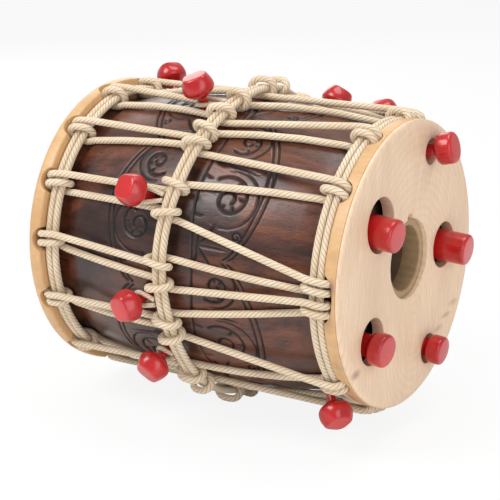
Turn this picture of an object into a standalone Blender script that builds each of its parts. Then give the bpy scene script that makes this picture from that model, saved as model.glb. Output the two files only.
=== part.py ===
# A rope-laced dhol lying on its side, with its holed end board at +X.
# Every piece is placed about the drum's own axis and parented to one empty, which is then set down
# so that the origin is under the middle of the drum, on the surface that it lies on. Metres, +Z up.

import bpy
import bmesh
import math
import numpy as np
from mathutils import Matrix, Vector

# Clearances
fit_gap = 0.0003           # between pieces that touch
slide_gap = 0.0004         # round what turns in a hole
rope_gap = 0.0006          # between a lace and the barrel under it

# Barrel: outer radius at the middle and under each end ring, wall and end lengths
belly_radius = 0.1536
left_neck_radius = 0.1373
right_neck_radius = 0.1345
end_ring_x = 0.160         # middle of each end ring, each way from the middle
neck_start_x = 0.149       # where the barrel's chamfer meets its neck
chamfer_start_x = 0.142    # where the barrel's curve ends
barrel_wall = 0.014
left_end_wall = 0.0098
right_end_wall = 0.0125
seat_wall = 0.0065         # round the peg board's seat
left_bore_radius = left_neck_radius - left_end_wall
right_bore_radius = right_neck_radius - right_end_wall
board_seat_radius = right_neck_radius - seat_wall
barrel_left_x = -0.176
barrel_right_x = 0.174
barrel_sides = 40

# Rope rings and lacing
rope_radius = 0.0038
rope_pitch = 0.0082        # between two turns that lie side by side
left_ring_lift = 0.0127     # from the barrel's surface to the middle of each ring's rope
right_ring_lift = 0.0130
mid_ring_lift = 0.0130
left_ring_radius = left_neck_radius + left_ring_lift
right_ring_radius = right_neck_radius + right_ring_lift
mid_ring_radius = belly_radius + mid_ring_lift
wrap_pitch = 0.0093        # between the lace's two passes in one knot, measured at the ring
wrap_height = 0.0087       # lace above or below a ring's middle
wrap_flat = 0.0084         # half of a wrap's flat run over a ring
wrap_side = 0.0142         # lace beside a ring's middle
ring_points = 20           # straight runs in one turn of a ring, beside its crossing run
stand_cut = 0.1            # the lacing's flat foot, as a share of the rope's diameter

# Wooden hoops
hoop_inner_x = 0.1683      # both hoops, beside the end rings
left_hoop_wall = 0.0227
left_hoop_radius = left_neck_radius + left_hoop_wall
left_hoop_end_x = 0.1860
left_lip_x = 0.1815
left_lip_depth = 0.0133
left_lip_radius = left_neck_radius - left_lip_depth
right_hoop_wall = 0.0155
right_hoop_radius = right_neck_radius + right_hoop_wall
right_hoop_end_x = 0.1817
notch_half_width = wrap_pitch * 2 / 3 + rope_radius + 0.0008     # at the hoop's bore
notch_depth = 0.0101       # along the drum

# Hide head and the flesh hoop that holds it, at the closed end
hide_thickness = 0.0010
flesh_hoop_width = 0.0032
flesh_hoop_depth = 0.0088
flesh_hoop_inner_radius = left_neck_radius - flesh_hoop_depth

# End board with its holes, and the hub's liner
board_face_x = 0.1870
board_rim_thickness = 0.0050
board_chamfer = 0.0046
board_face_radius = right_hoop_radius - board_chamfer
board_plug_thickness = 0.0077
hub_y = -0.002
hub_z = 0.007
hub_radius = 0.0420
liner_radius = 0.0340
liner_recess = 0.0042
finger_notch_radius = 0.0060
round_sides = 28
board_hole_sides = 18

# Peg board behind the end board
peg_board_back_x = 0.1500
peg_board_thickness = 0.0120
peg_shank_radius = 0.0080
ferrule_wall = 0.0018
ferrule_flange = 0.0022
ferrule_flange_thickness = 0.0012
peg_tail = 0.0060          # how far a peg's shank passes behind the peg board
peg_sides = 14

# Each end peg: its seat in the peg board and how far its tip is drawn aside, across and up, both as
# shares of the right neck's radius; its length past the board's face; its hole's radius in the end
# board and how far the hole's middle is off the peg, also as shares; and its shape
end_pegs = {
    "a": {"seat": (-0.5204, 0.3941), "drawn": (-0.0186, -0.0260), "reach": 0.0220,
          "hole": 0.0285, "off": (0.0332, 0.0450), "neck": 0.0168, "head": 0.0170, "head_length": 0.0300},
    "b": {"seat": (-0.6022, -0.4535), "drawn": (-0.0297, -0.0335), "reach": 0.0200,
          "hole": 0.0245, "off": (0.0255, 0.0278), "neck": 0.0120, "head": 0.0172, "head_length": 0.0165},
    "c": {"seat": (0.6245, 0.0223), "drawn": (0.0149, -0.0297), "reach": 0.0270,
          "hole": 0.0250, "off": (-0.0377, 0.0159), "neck": 0.0166, "head": 0.0168, "head_length": 0.0340},
    "d": {"seat": (0.2974, 0.7770), "drawn": (0.0446, 0.1004), "reach": 0.0260,
          "hole": 0.0140, "off": (0.0018, -0.0063), "neck": 0.0070, "head": 0.0165, "head_length": 0.0190},
    "e": {"seat": (0.3457, -0.7361), "drawn": (0.0074, -0.0409), "reach": 0.0200,
          "hole": 0.0165, "off": (0.0178, -0.0198), "neck": 0.0100, "head": 0.0155, "head_length": 0.0165},
}

# Lacing: angles of the knots round the drum, in degrees, 0 at the top and 90 towards -Y. The second
# half of the drum repeats the first, half a turn on. The lace zigzags in the order of these lists.
half_turn = 180.0
left_knots = (-13.0, 12.0, 37.5, 62.0, 85.5, 111.0, 140.0)
mid_knots_in = (-16.0, 14.0, 34.5, 57.8, 85.5, 107.0, 134.5)
mid_knots_out = (-3.0, 25.0, 41.5, 68.2, 94.0, 114.0, 144.0)
right_knots = (-8.5, 20.7, 48.9, 86.0, 94.5, 131.8, 162.5)
right_pair_angle = 10.0    # knots closer than this share one notch
hug_stations = (0.144, 0.098, 0.050)

# Where each rope ring crosses from its first turn to its second, in degrees
left_crossing = (197.0, 213.0)
mid_crossing = (297.5, 311.0)
right_crossing = (206.0, 222.0)

# The middle ring isn't flat: it is drawn aside at the top and at the pegs
mid_ring_x = -0.004
mid_ring_top_pull = 0.010
mid_ring_top_angle = 8.0
mid_ring_top_spread = 28.0
mid_ring_side_pull = -0.008
mid_ring_side_angle = 84.0
mid_ring_side_spread = 22.0

# Shell pegs: angle, place of the root along the drum, lean towards +X in degrees, length of the
# neck from the barrel to the head, and the ring that its cord comes from, if it has one
shell_pegs = {
    "1": (18.5, -0.0275, -12.0, 0.0180, "mid"),
    "2": (62.9, -0.0380, -12.0, 0.0180, "mid"),
    "3": (100.5, -0.0340, -12.0, 0.0180, "mid"),
    "4": (125.0, -0.0245, -12.0, 0.0180, "mid"),
    "5": (143.0, 0.1380, 35.0, 0.0240, ""),
    "6": (229.5, -0.0340, -12.0, 0.0180, "mid"),
    "7": (259.5, -0.0340, -12.0, 0.0180, "mid"),
    "8": (319.0, 0.0270, 12.0, 0.0180, "mid"),
    "9": (318.0, 0.1050, -20.0, 0.0180, ""),
    "10": (334.0, -0.1380, -35.0, 0.0240, ""),
}
shell_peg_radius = 0.0172
shell_peg_length = 0.0245
shell_shank_radius = 0.0044
shell_shank_depth = 0.0090
shell_peg_sides = 10
peg_cord_radius = 0.0025
peg_cord_end_spread = 0.0029      # half the distance between the cord's two ends, at the ring
peg_cord_side_spread = 0.0056     # and half-way to the peg


def clear_scene():
    for thing in list(bpy.data.objects):
        bpy.data.objects.remove(thing, do_unlink=True)


def make_material(name, color, roughness, metallic=0.0):
    material = bpy.data.materials.new(name)
    material.use_nodes = True
    shader = material.node_tree.nodes["Principled BSDF"]
    shader.inputs["Base Color"].default_value = (*color, 1.0)
    shader.inputs["Roughness"].default_value = roughness
    shader.inputs["Metallic"].default_value = metallic
    return material


def place(name, data, drum, material=None):
    thing = bpy.data.objects.new(name, data)
    bpy.context.scene.collection.objects.link(thing)
    thing.parent = drum
    if material:
        data.materials.append(material)
    return thing


def on_drum(x, radius, angle):
    # A point by its place along the axis, its distance from it and its angle from the top
    turn = math.radians(angle)
    return Vector((x, -radius * math.sin(turn), radius * math.cos(turn)))


def turned_mesh(name, outline, sides, closed):
    # Spins an outline of (x, radius) points about X. An open outline starts and ends on the axis.
    bm = bmesh.new()
    rim = [bm.verts.new((x, 0.0, radius)) for x, radius in outline]
    for first, second in zip(rim, rim[1:]):
        bm.edges.new((first, second))
    if closed:
        bm.edges.new((rim[-1], rim[0]))
    bmesh.ops.spin(bm, geom=bm.verts[:] + bm.edges[:], cent=(0, 0, 0), axis=(1, 0, 0),
                   angle=math.tau, steps=sides, use_merge=True)
    bmesh.ops.remove_doubles(bm, verts=bm.verts[:], dist=1e-6)
    bmesh.ops.recalc_face_normals(bm, faces=bm.faces[:])
    mesh = bpy.data.meshes.new(name)
    bm.to_mesh(mesh)
    bm.free()
    mesh.shade_smooth()
    mesh.set_sharp_from_angle(angle=math.radians(35))
    return mesh


def cut(target, cutter):
    cutter.hide_render = True
    cutter.display_type = "WIRE"
    modifier = target.modifiers.new("cut " + cutter.name, "BOOLEAN")
    modifier.operation = "DIFFERENCE"
    modifier.solver = "EXACT"
    modifier.object = cutter


def aim(direction):
    # Turns local X onto a direction, keeping local Z as near to up as it can be
    forward = direction.normalized()
    side = Vector((0, 0, 1)).cross(forward).normalized()
    return Matrix((forward, side, forward.cross(side))).transposed().to_4x4()


def tube_curve(name, points, radius, cyclic=False):
    curve = bpy.data.curves.new(name, "CURVE")
    curve.dimensions = "3D"
    curve.bevel_depth = radius
    curve.bevel_resolution = 1
    curve.use_fill_caps = not cyclic
    spline = curve.splines.new("POLY")
    spline.points.add(len(points) - 1)
    for point, place_in_space in zip(spline.points, points):
        point.co = (*place_in_space, 1.0)
    spline.use_cyclic_u = cyclic
    return curve


def barrel_curve(x):
    # A parabola through the belly and the two necks, where the end rings lie
    sag = belly_radius - (left_neck_radius + right_neck_radius) / 2
    slope = (right_neck_radius - left_neck_radius) / (2 * end_ring_x)
    return belly_radius - sag * (x / end_ring_x) ** 2 + slope * x


def make_barrel(drum, material):
    span = np.linspace(-chamfer_start_x, chamfer_start_x, 9)
    outside = [(barrel_left_x, left_neck_radius), (-neck_start_x, left_neck_radius)]
    outside += [(x, barrel_curve(x)) for x in span]
    outside += [(neck_start_x, right_neck_radius), (barrel_right_x, right_neck_radius)]
    seat_x = peg_board_back_x - fit_gap
    inside = [(barrel_right_x, board_seat_radius), (seat_x, board_seat_radius),
              (seat_x, right_bore_radius)]
    inside += [(x, barrel_curve(x) - barrel_wall) for x in np.linspace(0.132, -0.132, 5)]
    inside += [(-neck_start_x, left_bore_radius), (barrel_left_x, left_bore_radius)]
    mesh = turned_mesh("barrel", outside + inside, barrel_sides, closed=True)
    return place("barrel", mesh, drum, material)


def knot_groups(angles):
    # Knots that are close together share a notch: gives each notch's first and last angle
    groups = []
    for angle in sorted(a % 360 for a in angles):
        if groups and angle - groups[-1][1] < right_pair_angle:
            groups[-1][1] = angle
        else:
            groups.append([angle, angle])
    return groups


def whole_turn(angles):
    return [*angles, *(angle + half_turn for angle in angles)]


def cut_notches(hoop, drum, knots, bore, outer, side):
    # One cutter with a wedge for each group of knots, across the hoop's inner face
    bm = bmesh.new()
    low_x = side * (hoop_inner_x - 0.004)
    high_x = side * (hoop_inner_x + notch_depth)
    low_radius = bore - 0.004
    high_radius = outer + 0.004
    for first, last in knot_groups(knots):
        spread = math.degrees(notch_half_width / bore)
        start = first - spread
        end = last + spread
        beyond = high_radius / math.cos(math.radians((end - start) / 2))
        corners = [bm.verts.new(on_drum(x, radius, angle)) for x in (low_x, high_x)
                   for angle in (start, end) for radius in (low_radius, beyond)]
        for face in ((0, 1, 3, 2), (4, 6, 7, 5), (0, 2, 6, 4), (1, 5, 7, 3), (0, 4, 5, 1), (2, 3, 7, 6)):
            bm.faces.new([corners[i] for i in face])
    bmesh.ops.recalc_face_normals(bm, faces=bm.faces[:])
    mesh = bpy.data.meshes.new(hoop.name + "_notches")
    bm.to_mesh(mesh)
    bm.free()
    cut(hoop, place(hoop.name + "_notches", mesh, drum))


def make_hoops(drum, material):
    bore = left_neck_radius + fit_gap
    end = left_hoop_end_x
    big = left_hoop_radius
    outline = [(-hoop_inner_x, bore), (-hoop_inner_x, big - 0.0035), (-hoop_inner_x - 0.0035, big),
               (-end + 0.0070, big), (-end + 0.0025, big - 0.0030), (-end, big - 0.0090),
               (-end, left_lip_radius), (-left_lip_x, left_lip_radius), (-left_lip_x, bore)]
    left = place("left_hoop", turned_mesh("left_hoop", outline, barrel_sides, True), drum, material)
    cut_notches(left, drum, whole_turn(left_knots), bore, big, -1)
    bore = right_neck_radius + fit_gap
    big = right_hoop_radius
    outline = [(hoop_inner_x, bore), (hoop_inner_x, big - 0.0020), (hoop_inner_x + 0.0020, big),
               (right_hoop_end_x, big), (right_hoop_end_x, bore)]
    right = place("right_hoop", turned_mesh("right_hoop", outline, barrel_sides, True), drum, material)
    cut_notches(right, drum, whole_turn(right_knots), bore, big, 1)


def make_hide_head(drum, hide, cane):
    near = -barrel_left_x + fit_gap
    far = near + hide_thickness
    radius = left_neck_radius - fit_gap
    outline = [(-near, 0.0), (-near, radius), (-far, radius), (-far, 0.0)]
    place("hide_head", turned_mesh("hide_head", outline, barrel_sides, False), drum, hide)
    near = far + fit_gap
    far = near + flesh_hoop_width
    outline = [(-near, flesh_hoop_inner_radius), (-near, radius), (-far, radius),
               (-far, flesh_hoop_inner_radius)]
    place("flesh_hoop", turned_mesh("flesh_hoop", outline, barrel_sides, True), drum, cane)


def hole_cutter(name, drum, radius, low_x, high_x, y, z, direction=None, sides=round_sides):
    outline = [(low_x, 0.0), (low_x, radius), (high_x, radius), (high_x, 0.0)]
    cutter = place(name, turned_mesh(name, outline, sides, False), drum)
    if direction:
        cutter.matrix_local = Matrix.Translation((0.0, y, z)) @ aim(direction)
    else:
        cutter.location = (0.0, y, z)
    return cutter


def make_end_board(drum, material):
    rim_x = board_face_x - board_rim_thickness
    back_x = rim_x - board_plug_thickness
    plug = right_neck_radius
    outline = [(back_x, 0.0), (back_x, plug), (rim_x, plug), (rim_x, right_hoop_radius),
               (board_face_x - 0.0022, right_hoop_radius - 0.0006),
               (board_face_x - 0.0006, (right_hoop_radius + board_face_radius) / 2 + 0.0004),
               (board_face_x, board_face_radius), (board_face_x, 0.0)]
    board = place("end_board", turned_mesh("end_board", outline, barrel_sides, False), drum, material)
    over = 0.010
    hub = hole_cutter("hub_cut", drum, hub_radius, back_x - over, board_face_x + over, hub_y, hub_z)
    cut(board, hub)
    notch = hole_cutter("finger_notch_cut", drum, finger_notch_radius, back_x - over,
                        board_face_x + over, hub_y, hub_z + hub_radius, sides=12)
    cut(board, notch)
    for letter, peg in end_pegs.items():
        y, z = board_hole_middle(peg)
        cut(board, hole_cutter("board_hole_" + letter, drum, peg["hole"], back_x - over,
                               board_face_x + over, y, z, sides=board_hole_sides))


def make_hub_liner(drum, material):
    low_x = peg_board_back_x + peg_board_thickness + fit_gap
    high_x = board_face_x - liner_recess
    outer = hub_radius - fit_gap
    outline = [(low_x, liner_radius), (low_x, outer), (high_x, outer),
               (high_x, liner_radius + 0.0012), (high_x - 0.0012, liner_radius)]
    liner = place("hub_liner", turned_mesh("hub_liner", outline, round_sides, True), drum, material)
    liner.location = (0.0, hub_y, hub_z)
    notch = hole_cutter("liner_notch_cut", drum, finger_notch_radius - 0.002, high_x - 0.006,
                        high_x + 0.010, hub_y, hub_z + hub_radius, sides=12)
    cut(liner, notch)


def peg_frame(peg):
    # The seat's middle in the peg board, the direction to the tip, and the length between them
    seat_x = peg_board_back_x + peg_board_thickness / 2
    across, up = (share * right_neck_radius for share in peg["seat"])
    drawn_across, drawn_up = (share * right_neck_radius for share in peg["drawn"])
    run = Vector((board_face_x + peg["reach"] - seat_x, drawn_across, drawn_up))
    return Vector((seat_x, across, up)), run.normalized(), run.length


def board_hole_middle(peg):
    # Where the peg's axis passes the board's face, moved by the hole's own offset
    seat, direction, length = peg_frame(peg)
    spot = seat + direction * (board_face_x - seat.x) / direction.x
    off_across, off_up = (share * right_neck_radius for share in peg["off"])
    return spot.y + off_across, spot.z + off_up


def make_peg_board(drum, material):
    radius = board_seat_radius - fit_gap
    high_x = peg_board_back_x + peg_board_thickness
    outline = [(peg_board_back_x, 0.0), (peg_board_back_x, radius), (high_x, radius), (high_x, 0.0)]
    board = place("peg_board", turned_mesh("peg_board", outline, barrel_sides, False), drum, material)
    over = 0.020
    cut(board, hole_cutter("peg_board_hub_cut", drum, liner_radius, peg_board_back_x - over,
                           high_x + over, hub_y, hub_z))
    hole = peg_shank_radius + slide_gap + ferrule_wall + fit_gap
    for letter, peg in end_pegs.items():
        seat, direction, length = peg_frame(peg)
        cutter = hole_cutter("seat_cut_" + letter, drum, hole, -over, over, 0, 0, sides=peg_sides)
        cutter.matrix_local = Matrix.Translation(seat) @ aim(direction)
        cut(board, cutter)


def make_end_pegs(drum, lacquer, steel):
    half = peg_board_thickness / 2
    for letter, peg in end_pegs.items():
        seat, direction, length = peg_frame(peg)
        spot = Matrix.Translation(seat) @ aim(direction)
        lean = direction.angle(Vector((1, 0, 0)))
        bore = peg_shank_radius + slide_gap
        outer = bore + ferrule_wall
        flange = outer + ferrule_flange
        # The flange's back stays clear of the board's face, which the leaning ferrule meets askew
        face = half + fit_gap + flange * math.tan(lean)
        outline = [(-half, bore), (-half, outer), (face, outer), (face, flange),
                   (face + ferrule_flange_thickness, flange), (face + ferrule_flange_thickness, bore)]
        ferrule = place("ferrule_" + letter, turned_mesh("ferrule_" + letter, outline, peg_sides, True),
                        drum, steel)
        ferrule.matrix_local = spot
        collar_x = face + ferrule_flange_thickness + slide_gap
        neck = peg["neck"]
        head = peg["head"]
        head_x = length - peg["head_length"]
        outline = [(-half - peg_tail, 0.0), (-half - peg_tail, peg_shank_radius - 0.0008),
                   (collar_x, peg_shank_radius)]
        outline += [(collar_x + 0.0002, neck), (head_x - 0.0020, neck)]
        outline += [(head_x + 0.0005, head - 0.0012), (head_x + 0.0025, head)]
        outline += [(length - 0.0040, head), (length - 0.0012, head - 0.0014),
                    (length, head - 0.0042), (length, 0.0)]
        shape = turned_mesh("peg_" + letter, outline, peg_sides, False)
        place("peg_" + letter, shape, drum, lacquer).matrix_local = spot


def mid_ring_place(angle):
    def bump(middle, spread):
        apart = (angle - middle + 180.0) % 360.0 - 180.0
        return math.exp(-(apart / spread) ** 2)
    return (mid_ring_x + mid_ring_top_pull * bump(mid_ring_top_angle, mid_ring_top_spread)
            + mid_ring_side_pull * bump(mid_ring_side_angle, mid_ring_side_spread))


rings = {
    "left": {"radius": left_ring_radius, "x": lambda angle: -end_ring_x, "cross": left_crossing},
    "mid": {"radius": mid_ring_radius, "x": mid_ring_place, "cross": mid_crossing},
    "right": {"radius": right_ring_radius, "x": lambda angle: end_ring_x, "cross": right_crossing},
}


def ring_route(ring):
    # Two turns side by side, joined by one crossing run. The corners lie a little outside the
    # ring's radius and the runs' middles a little inside it.
    start, stop = ring["cross"]
    step = (360.0 - (stop - start)) / ring_points
    corner = ring["radius"] * 2 / (1 + math.cos(math.radians(step / 2)))
    route = []
    for lane in (-0.5, 0.5):
        for i in range(ring_points + 1):
            angle = stop + i * step
            route.append(on_drum(ring["x"](angle) + lane * rope_pitch, corner, angle))
    return route


def make_rings(drum, material):
    for name, ring in rings.items():
        route = ring_route(ring)
        curve = tube_curve(name + "_ring_rope", route, rope_radius)
        place(name + "_ring_rope", curve, drum, material)
        least_gap("the " + name + " ring rope", route, False)


def around(ring, knot, x, along, height):
    # A point near a knot: x along the drum from the ring, along its rope, and above its middle
    radius = ring["radius"]
    return on_drum(ring["x"](knot) + x, radius + height, knot + math.degrees(along / radius))


def end_knot(ring, knot, side):
    # Two wraps: in over the top, round the far side, and out underneath
    loop = ((-wrap_flat, wrap_height), (wrap_flat, wrap_height), (wrap_side, 0.0),
            (wrap_flat, -wrap_height), (-wrap_flat, -wrap_height), (-wrap_side, 0.0))
    count = 2 * len(loop) - 1
    route = []
    for i in range(count):
        x, height = loop[i % len(loop)]
        along = wrap_pitch * (i - (count - 1) / 2) / len(loop)
        route.append(around(ring, knot, side * x, along, height))
    return route


def mid_knot(knot, way):
    # Under the ring, back over it, and under it again
    ring = rings["mid"]
    half = wrap_pitch / 2
    run = ((-wrap_flat, -half, -wrap_height), (wrap_flat, -half, -wrap_height),
           (wrap_side, -0.6 * half, 0.0), (wrap_flat, -0.3 * half, wrap_height),
           (-wrap_flat, 0.3 * half, wrap_height), (-wrap_side, 0.6 * half, 0.0),
           (-wrap_flat, half, -wrap_height), (wrap_flat, half, -wrap_height))
    return [around(ring, knot, way * x, along, height) for x, along, height in run]


def hugging(first, last, stations):
    # Points between two ends of a lace that lie on the barrel
    angles = [math.degrees(math.atan2(-p.y, p.z)) for p in (first, last)]
    turn = (angles[1] - angles[0] + 180.0) % 360.0 - 180.0
    route = []
    for x in stations:
        share = (x - first.x) / (last.x - first.x)
        radius = barrel_curve(x) + rope_radius + rope_gap + 0.0002
        route.append(on_drum(x, radius, angles[0] + share * turn))
    return route


def lacing_route():
    # One endless lace: left knot, middle ring, right knot, middle ring, next left knot
    left = whole_turn(left_knots)
    into = whole_turn(mid_knots_in)
    out = whole_turn(mid_knots_out)
    right = whole_turn(right_knots)
    route = []
    for i in range(len(left)):
        over = end_knot(rings["left"], left[i], -1)
        middle = mid_knot(out[i], 1)
        route += over
        route += hugging(over[-1], middle[0], [-x for x in hug_stations])
        route += middle
        over = end_knot(rings["right"], right[i], 1)
        middle = mid_knot(into[(i + 1) % len(into)], -1)
        route += over
        route += hugging(over[-1], middle[0], hug_stations)
        route += middle
    return route


def least_gap(name, route, cyclic):
    # The smallest gap between two stretches of the same rope that aren't neighbours along it
    points = np.array([tuple(p) for p in route])
    ends = np.roll(points, -1, axis=0) if cyclic else points[1:]
    starts = points if cyclic else points[:-1]
    shares = np.linspace(0.0, 1.0, 9)[:-1]
    dense = starts[:, None, :] + shares[None, :, None] * (ends - starts)[:, None, :]
    dense = dense.reshape(-1, 3)
    steps = np.linalg.norm(np.roll(dense, -1, axis=0) - dense, axis=1)
    run = np.concatenate(([0.0], np.cumsum(steps)[:-1]))
    whole = steps.sum()
    least = 1.0
    for i in range(0, len(dense), 2):
        apart = np.abs(run - run[i])
        apart = np.minimum(apart, whole - apart) if cyclic else apart
        far = apart > 6 * rope_radius
        if far.any():
            least = min(least, np.linalg.norm(dense[far] - dense[i], axis=1).min())
    print(f"least gap in {name}: {(least - 2 * rope_radius) * 1000:.2f} mm")


def make_lacing(drum, material):
    route = lacing_route()
    least_gap("the lacing", route, True)
    guide = place("lacing_guide", tube_curve("lacing_guide", route, rope_radius, cyclic=True), drum)
    bpy.context.view_layer.update()
    seen = guide.evaluated_get(bpy.context.evaluated_depsgraph_get())
    mesh = bpy.data.meshes.new_from_object(seen)
    bpy.data.objects.remove(guide, do_unlink=True)
    lacing = place("lacing", mesh, drum, material)
    lowest = min(vertex.co.z for vertex in mesh.vertices)
    # The drum stands on the lacing, which has a small flat foot there
    foot = lowest + stand_cut * 2 * rope_radius
    block = bmesh.new()
    bmesh.ops.create_cube(block, size=0.2, matrix=Matrix.Translation((0.0, 0.0, foot - 0.1)))
    flat = bpy.data.meshes.new("foot_cut")
    block.to_mesh(flat)
    block.free()
    cut(lacing, place("foot_cut", flat, drum))


def shell_peg_frame(peg):
    angle, root_x, lean, neck, ring = peg
    root = on_drum(root_x, barrel_curve(root_x), angle)
    outward = on_drum(0.0, 1.0, angle)
    tilt = math.radians(lean)
    return root, math.cos(tilt) * outward + math.sin(tilt) * Vector((1, 0, 0))


def make_shell_pegs(drum, barrel, lacquer, cord):
    for name, peg in shell_pegs.items():
        angle, root_x, lean, neck, ring_name = peg
        root, direction = shell_peg_frame(peg)
        spot = Matrix.Translation(root) @ aim(direction)
        head = neck + shell_peg_length
        big = shell_peg_radius
        outline = [(-shell_shank_depth, 0.0), (-shell_shank_depth, shell_shank_radius),
                   (neck - 0.0006, shell_shank_radius), (neck, 0.0085), (neck + 0.0045, big - 0.0012),
                   (neck + 0.0110, big), (head - 0.0060, big - 0.0012), (head - 0.0016, big - 0.0032),
                   (head, big - 0.0062), (head, 0.0)]
        shape = turned_mesh("shell_peg_" + name, outline, shell_peg_sides, False)
        place("shell_peg_" + name, shape, drum, lacquer).matrix_local = spot
        depth = shell_shank_depth + fit_gap
        socket = hole_cutter("socket_" + name, drum, shell_shank_radius + slide_gap, -depth, 0.02,
                             0, 0, sides=shell_peg_sides)
        socket.matrix_local = spot
        cut(barrel, socket)
        if ring_name:
            make_peg_cord(name, peg, root, direction, drum, cord)


def make_peg_cord(name, peg, root, direction, drum, material):
    # A hairpin of cord from the ring, hooked over the peg's neck, just under its head
    angle, root_x, lean, neck, ring_name = peg
    ring = rings[ring_name]
    hook = root + direction * (neck - 2 * peg_cord_radius - 2 * slide_gap)
    ring_x = ring["x"](angle)
    way = 1.0 if ring_x > hook.x else -1.0
    reach = rope_pitch / 2 + rope_radius + peg_cord_radius / 2 + fit_gap
    start = on_drum(ring_x - way * reach, ring["radius"], angle)
    along = on_drum(0.0, 1.0, angle + 90.0)
    # The bend lies square to the peg
    pull = start - hook
    forward = (pull - pull.dot(direction) * direction).normalized()
    # The bend is four straight runs, whose middles clear the shank
    bend = (shell_shank_radius + peg_cord_radius + slide_gap) / math.cos(math.pi / 8)
    middle = (start + hook) / 2
    arc = [hook + bend * (math.sin(turn) * along - math.cos(turn) * forward)
           for turn in np.linspace(math.pi / 2, -math.pi / 2, 5)]
    route = [start + along * peg_cord_end_spread, middle + along * peg_cord_side_spread, *arc,
             middle - along * peg_cord_side_spread, start - along * peg_cord_end_spread]
    place("peg_cord_" + name, tube_curve("peg_cord_" + name, route, peg_cord_radius), drum, material)


def set_down(drum):
    # Moves the drum so that the origin is under the middle of its box, on what it lies on
    bpy.context.view_layer.update()
    view = bpy.context.evaluated_depsgraph_get()
    low = np.full(3, 1e9)
    high = np.full(3, -1e9)
    for thing in drum.children:
        if thing.hide_render:
            continue
        seen = thing.evaluated_get(view)
        mesh = seen.to_mesh()
        points = np.empty(len(mesh.vertices) * 3, dtype=np.float32)
        mesh.vertices.foreach_get("co", points)
        world = np.array(thing.matrix_world)
        spots = points.reshape(-1, 3) @ world[:3, :3].T + world[:3, 3]
        low = np.minimum(low, spots.min(axis=0))
        high = np.maximum(high, spots.max(axis=0))
        seen.to_mesh_clear()
    middle = (low + high) / 2
    drum.location = (-middle[0], -middle[1], -low[2])
    print("drum axis at", [round(float(v), 6) for v in drum.location],
          "size", [round(float(v), 5) for v in high - low])


def main():
    clear_scene()
    drum = bpy.data.objects.new("drum", None)
    bpy.context.scene.collection.objects.link(drum)
    rosewood = make_material("rosewood", (0.10, 0.035, 0.022), 0.35)
    mango_wood = make_material("pale_wood", (0.80, 0.58, 0.38), 0.50)
    honey_wood = make_material("honey_wood", (0.72, 0.46, 0.24), 0.42)
    liner_wood = make_material("liner_wood", (0.48, 0.32, 0.18), 0.50)
    inner_wood = make_material("inner_wood", (0.16, 0.10, 0.06), 0.70)
    rope = make_material("rope", (0.72, 0.60, 0.44), 0.85)
    lacquer = make_material("red_lacquer", (0.60, 0.015, 0.018), 0.20)
    steel = make_material("ferrule_steel", (0.60, 0.60, 0.58), 0.30, 1.0)
    hide = make_material("goat_hide", (0.80, 0.70, 0.54), 0.60)
    cane = make_material("cane", (0.62, 0.46, 0.27), 0.60)
    barrel = make_barrel(drum, rosewood)
    make_hoops(drum, honey_wood)
    make_hide_head(drum, hide, cane)
    make_end_board(drum, mango_wood)
    make_hub_liner(drum, liner_wood)
    make_peg_board(drum, inner_wood)
    make_end_pegs(drum, lacquer, steel)
    make_rings(drum, rope)
    make_lacing(drum, rope)
    make_shell_pegs(drum, barrel, lacquer, rope)
    set_down(drum)


main()
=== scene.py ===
# Dhol on its side: carved rosewood shell, laid rope, honey hoops, pale end board and red pegs.
# Everything is in metres with +Z up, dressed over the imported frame.

import bpy
import bmesh
import math
import numpy as np
from mathutils import Matrix, Vector, kdtree


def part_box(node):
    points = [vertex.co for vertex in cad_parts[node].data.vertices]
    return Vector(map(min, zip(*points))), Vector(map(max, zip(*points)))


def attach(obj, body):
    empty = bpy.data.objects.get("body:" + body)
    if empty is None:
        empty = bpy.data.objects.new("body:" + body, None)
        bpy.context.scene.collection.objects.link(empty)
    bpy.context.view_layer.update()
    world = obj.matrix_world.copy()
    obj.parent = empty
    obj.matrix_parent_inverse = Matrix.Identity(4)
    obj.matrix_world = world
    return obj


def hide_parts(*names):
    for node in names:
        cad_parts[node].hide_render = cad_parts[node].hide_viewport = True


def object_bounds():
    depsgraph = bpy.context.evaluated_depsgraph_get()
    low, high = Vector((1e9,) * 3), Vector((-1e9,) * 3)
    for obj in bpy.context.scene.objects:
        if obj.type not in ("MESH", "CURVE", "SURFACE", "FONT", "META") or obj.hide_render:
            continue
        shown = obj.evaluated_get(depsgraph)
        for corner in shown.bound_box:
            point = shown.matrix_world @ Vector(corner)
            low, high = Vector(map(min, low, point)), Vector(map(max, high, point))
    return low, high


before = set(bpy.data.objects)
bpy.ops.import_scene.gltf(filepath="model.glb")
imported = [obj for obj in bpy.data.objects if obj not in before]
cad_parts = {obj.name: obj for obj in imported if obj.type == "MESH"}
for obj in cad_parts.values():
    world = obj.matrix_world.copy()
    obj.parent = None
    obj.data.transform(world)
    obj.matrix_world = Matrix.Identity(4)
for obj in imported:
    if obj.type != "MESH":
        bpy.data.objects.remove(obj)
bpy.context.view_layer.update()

shell = {"belly": 0.1536, "leftNeck": 0.1373, "rightNeck": 0.1345, "ringX": 0.160, "neckX": 0.149,
         "chamferX": 0.142, "wall": 0.014, "leftBore": 0.1275, "rightBore": 0.1220,
         "seat": 0.1280, "seatX": 0.1497, "leftX": -0.176, "rightX": 0.174}
board = {"faceX": 0.1870, "rim": 0.0050, "faceRadius": 0.1454, "plug": 0.0077, "outer": 0.1500,
         "hubY": -0.002, "hubZ": 0.007, "hubRadius": 0.0420, "notchRadius": 0.0060,
         "linerRadius": 0.034, "linerBack": 0.1623, "linerRecess": 0.0042, "linerNotch": 0.004}
fitGap = 0.0003

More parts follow.
